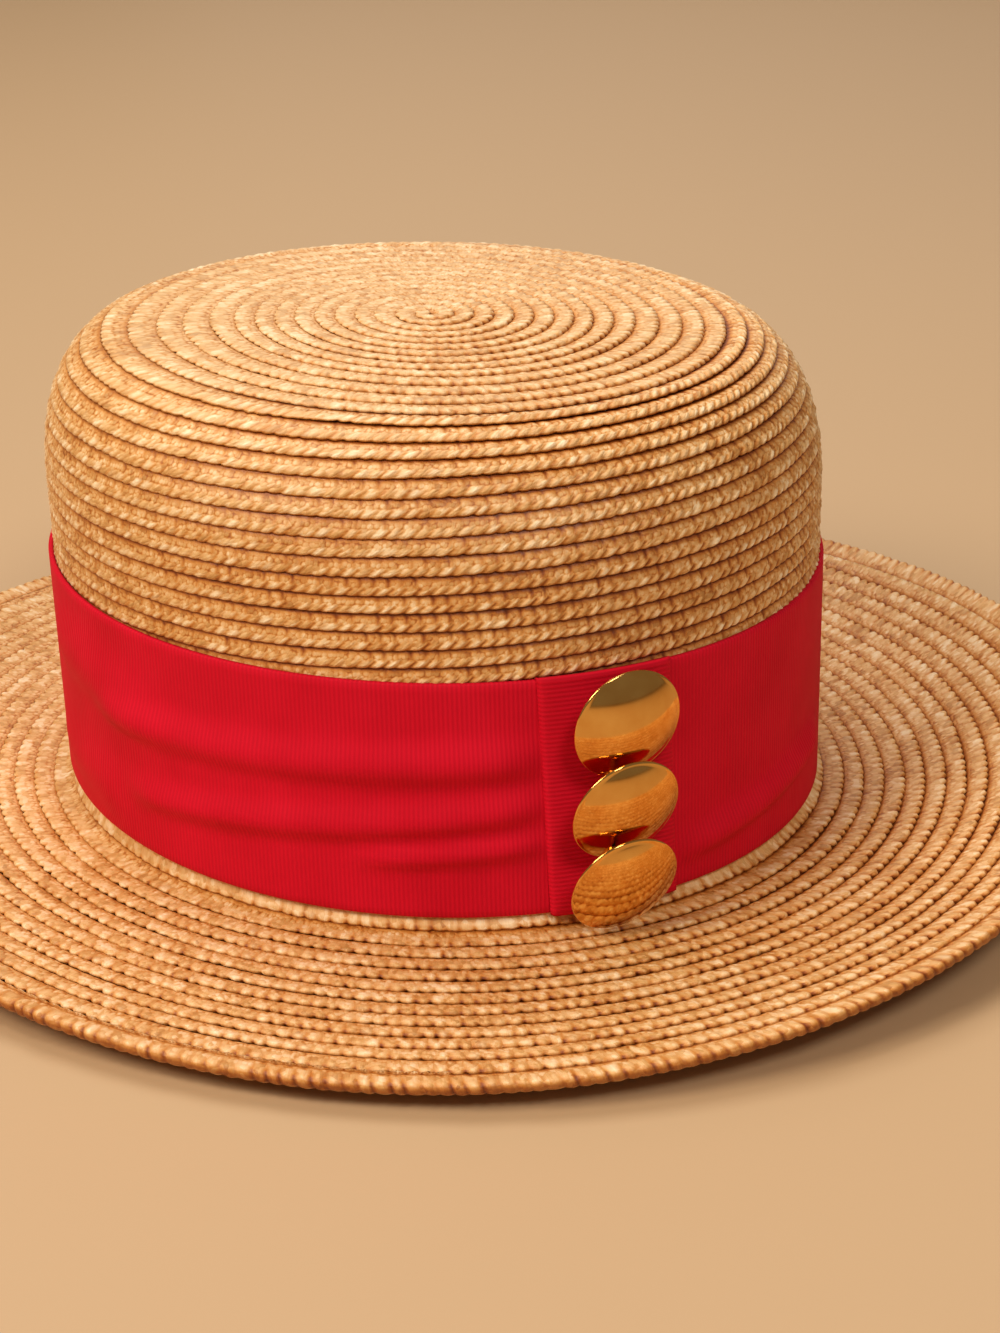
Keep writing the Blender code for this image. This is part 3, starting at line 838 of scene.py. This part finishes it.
def make_brim(straw):
    """The brim's plait, on top and underneath, and the row round its edge."""
    last = ROW_PHASE + BRIM_LAST_ROW
    top = {"section": IRONED_SECTION, "scallop": 0.55, "gap_shade": 0.8, "rise": 1.2}
    strips = (
        {"name": "brim_inner_plait", "rows": (BRIM_FIRST_ROW, BRIM_MIDDLE_ROW), **top},
        {"name": "brim_outer_plait", "rows": (BRIM_MIDDLE_ROW, last), **top},
        {"name": "brim_under_plait", "rows": (BRIM_FIRST_ROW, last),
         "section": PLAIN_SECTION, "columns": PLAIN_COLUMNS, "side": -1, "stitch": LINING_STITCH},
    )
    sew_strips(strips, brim_skin, brim_rows, BRIM_STITCH, straw, "brim", first_seed=11)
    edge = edge_plait("brim_edge_plait", BRIM_STITCH, STITCH_COLUMNS, seed=21)
    new_piece("brim_edge_plait", edge, straw)


def fold_height(bearing, height_share):
    """How far the band stands out in its soft folds."""
    turned = (np.degrees(bearing) + 180) % 360 - 180
    out = 0.0 * turned
    for fold in RIBBON_FOLDS:
        along = (turned - fold["start"]) / (fold["end"] - fold["start"])
        ends = np.minimum(turned - fold["start"], fold["end"] - turned) / FOLD_FADE
        first, last = fold["heights"]
        centre = first + along * (last - first)
        away = (height_share - centre) * RIBBON_WIDTH / MM / fold["half_width"]
        hump = np.maximum(0.0, 1 - away * away) ** 2 * (1 - FOLD_DROP * away)
        out += fold["depth"] * FOLD_DEPTH * smooth_step(ends) * hump
    return out


def make_ribbon_band(ribbon):
    """The band: one closed loop of ribbon with thin woven edges."""
    columns = RIBBON_COLUMNS
    face = np.linspace(RIBBON_EDGE_SHARE, 1 - RIBBON_EDGE_SHARE, RIBBON_LINES)
    share = np.concatenate([[0.0, 0.0], face, [1.0, 1.0]])
    stand = np.concatenate([[0.0, RIBBON_EDGE_WALL], np.full(RIBBON_LINES, 1.0), [RIBBON_EDGE_WALL, 0.0]])
    mesh, column, line = grid_mesh("ribbon_band_cloth", columns, len(share))
    line_of = line % len(share)
    bearing = 2 * pi * column / columns
    foot = RIBBON_FOOT + RIBBON_LIFT * ((1 - np.cos(bearing)) / 2) ** RIBBON_LIFT_POWER
    height = foot + share[line_of] * (RIBBON_FOOT + RIBBON_WIDTH - foot)
    off = GAP + fold_height(bearing, share[line_of]) + RIBBON_WALL * stand[line_of]
    points = wall_point(bearing, off, height)
    uvs = np.stack([bearing * (CROWN_HALF_WIDTH + CROWN_HALF_DEPTH) / 2 / MM, height / MM], axis=-1)
    place_grid(mesh, points, uvs)
    close_seams(mesh, cap=False)
    new_piece("ribbon_band_cloth", mesh, ribbon, ["ribbon_band"])


def make_ribbon_keeper(ribbon):
    """The keeper: ribbon wrapped upright over the band, its ribs lying level."""
    columns = KEEPER_COLUMNS
    top = RIBBON_FOOT + RIBBON_WIDTH + GAP
    tuck_back, tuck_top, face_top = KEEPER_TUCK
    share = np.concatenate([[tuck_back, tuck_top], np.linspace(face_top, 0.0, KEEPER_LINES), [0.0]])
    stand = np.concatenate([[-1.0, KEEPER_TUCK_WALL], np.full(KEEPER_LINES, 1.0), [0.0]])
    mesh, column, line = grid_mesh("ribbon_keeper_cloth", columns, len(share))
    line_of = line % len(share)
    mean_radius = sqrt(CROWN_HALF_WIDTH * CROWN_HALF_DEPTH) + KEEPER_STAND
    half_turn = KEEPER_WIDTH / mean_radius / 2
    height = RIBBON_FOOT + share[line_of] * (top - RIBBON_FOOT)
    slant = radians(KEEPER_SLANT) * (height - RIBBON_FOOT) / RIBBON_WIDTH
    side = column / columns * 2 - 1
    bearing = radians(KEEPER_BEARING) - slant + side * half_turn
    edge = np.sqrt(np.clip(1 - np.abs(side) ** KEEPER_EDGE_POWER, 0, 1))
    off = KEEPER_STAND + KEEPER_WALL * np.where(stand[line_of] > 0, stand[line_of] * edge, 0.0)
    off = np.where(stand[line_of] < 0, GAP, off)
    points = wall_point(bearing, off, height)
    uvs = np.stack([bearing * mean_radius / MM, height / MM], axis=-1)
    place_grid(mesh, points, uvs)
    close_seams(mesh)
    new_piece("ribbon_keeper_cloth", mesh, ribbon, ["ribbon_keeper"])


def button_profile(shank_length):
    """Half section of a button, from the front of its dome to the end of its shank."""
    sphere = (BUTTON_RADIUS ** 2 + BUTTON_DOME ** 2) / (2 * BUTTON_DOME)
    rim = BUTTON_RIM / 2
    points = []
    for step in range(DOME_STEPS + 1):
        radius = (BUTTON_RADIUS - rim) * step / DOME_STEPS
        points.append((radius, sqrt(sphere ** 2 - radius ** 2) - sphere + BUTTON_DOME))
    rim_height = points[-1][1] - rim
    for step in range(1, RIM_STEPS + 1):
        turn = pi * step / RIM_STEPS
        points.append((BUTTON_RADIUS - rim + rim * sin(turn), rim_height + rim * cos(turn)))
    points += [
        (BUTTON_RADIUS * BACK_RADIUS_SHARE, rim_height - BUTTON_RIM * BACK_STEP_SHARE),
        (SHANK_RADIUS * ROOT_RADIUS_SHARE, -BUTTON_RIM),
        (SHANK_RADIUS, -BUTTON_RIM * ROOT_HEIGHT_SHARE),
        (SHANK_RADIUS, -shank_length),
        (0.0, -shank_length)]
    return points


def make_button(row, brass):
    """Spin a button, then turn and move it to its seat on the keeper."""
    bearing = radians(row["bearing"])
    tilt = radians(row["tilt"])
    stand_off = row["stand_off"] * MM
    height = RIBBON_FOOT + row["height"] * RIBBON_WIDTH
    seat = Vector(wall_point(np.array(bearing), KEEPER_STAND + KEEPER_WALL, np.array(height)))
    out = Vector((cos(bearing) / CROWN_HALF_WIDTH, sin(bearing) / CROWN_HALF_DEPTH, 0)).normalized()
    shank_length = (stand_off - GAP - SHANK_RADIUS * sin(tilt)) / cos(tilt)
    facing = Matrix.Rotation(radians(BUTTON_SWING), 3, "Z") @ out
    normal = (facing * cos(tilt) + Vector((0, 0, -sin(tilt)))).normalized()
    bm = bmesh.new()
    verts = [bm.verts.new((radius, 0.0, level)) for radius, level in button_profile(shank_length)]
    edges = [bm.edges.new(pair) for pair in zip(verts, verts[1:])]
    bmesh.ops.spin(
        bm, geom=verts + edges, cent=(0, 0, 0), axis=(0, 0, 1), angle=2 * pi, steps=SPIN_STEPS,
        use_merge=True, use_duplicate=False)
    bmesh.ops.remove_doubles(bm, verts=bm.verts, dist=WELD)
    bmesh.ops.recalc_face_normals(bm, faces=bm.faces)
    turn = normal.to_track_quat("Z", "Y").to_matrix().to_4x4()
    place = Matrix.Translation(seat + out * stand_off) @ turn
    bmesh.ops.transform(bm, matrix=place, verts=bm.verts)
    mesh = bpy.data.meshes.new(row["name"] + "_brass")
    bm.to_mesh(mesh)
    bm.free()
    mesh.shade_smooth()
    mesh.set_sharp_from_angle(angle=radians(BUTTON_CREASE))
    new_piece(row["name"] + "_brass", mesh, brass, [row["name"]])


# Stage

def make_floor():
    """A plain round floor, wide enough that its edge stays out of the way."""
    bm = bmesh.new()
    bmesh.ops.create_circle(bm, cap_ends=True, segments=FLOOR_SIDES, radius=FLOOR_RADIUS)
    mesh = bpy.data.meshes.new("floor")
    bm.to_mesh(mesh)
    bm.free()
    mesh.materials.append(pale_floor())
    floor = bpy.data.objects.new("floor", mesh)
    bpy.context.scene.collection.objects.link(floor)


def add_light(name, place, aim, width, watts, tint):
    """A square soft light at a place, turned to face a point."""
    data = bpy.data.lights.new(name, "AREA")
    data.shape = "SQUARE"
    data.size = width
    data.energy = watts
    data.color = linear(tint)[:3]
    light = bpy.data.objects.new(name, data)
    light.location = place
    light.rotation_euler = (Vector(aim) - Vector(place)).to_track_quat("-Z", "Y").to_euler()
    bpy.context.scene.collection.objects.link(light)


def make_camera():
    """The camera, standing where the photograph was taken from."""
    ahead = Vector((
        sin(CAMERA_YAW) * cos(CAMERA_PITCH), cos(CAMERA_YAW) * cos(CAMERA_PITCH), -sin(CAMERA_PITCH)))
    right = Vector((cos(CAMERA_YAW), -sin(CAMERA_YAW), 0))
    up = right.cross(ahead)
    turned_right = cos(CAMERA_ROLL) * right + sin(CAMERA_ROLL) * up
    turned_up = cos(CAMERA_ROLL) * up - sin(CAMERA_ROLL) * right
    data = bpy.data.cameras.new("camera")
    data.sensor_width = SENSOR
    data.lens = CAMERA_FOCAL * SENSOR / PICTURE_HEIGHT
    camera = bpy.data.objects.new("camera", data)
    turn = Matrix((turned_right, turned_up, -ahead)).transposed().to_4x4()
    camera.matrix_world = Matrix.Translation(CAMERA_PLACE) @ turn
    bpy.context.scene.collection.objects.link(camera)
    bpy.context.scene.camera = camera


def make_stage():
    """Studio light and the floor."""
    scene = bpy.context.scene
    scene.view_settings.view_transform = "Standard"
    world = bpy.data.worlds.new("studio")
    world.use_nodes = True
    backdrop = world.node_tree.nodes["Background"]
    backdrop.inputs["Color"].default_value = linear(ROOM_TINT)
    backdrop.inputs["Strength"].default_value = ROOM_STRENGTH
    scene.world = world
    make_floor()
    for light in LIGHTS:
        add_light(**light)


def main():
    make_camera()
    make_stage()
    straw = varnished_straw()
    make_crown(straw)
    make_brim(straw)
    make_ribbon_band(grosgrain("red_grosgrain_upright_ribs", RIBBON_RIB, "X"))
    make_ribbon_keeper(grosgrain("red_grosgrain_level_ribs", KEEPER_RIB, "Y"))
    brass = polished_brass()
    for row in BUTTONS:
        make_button(row, brass)


main()
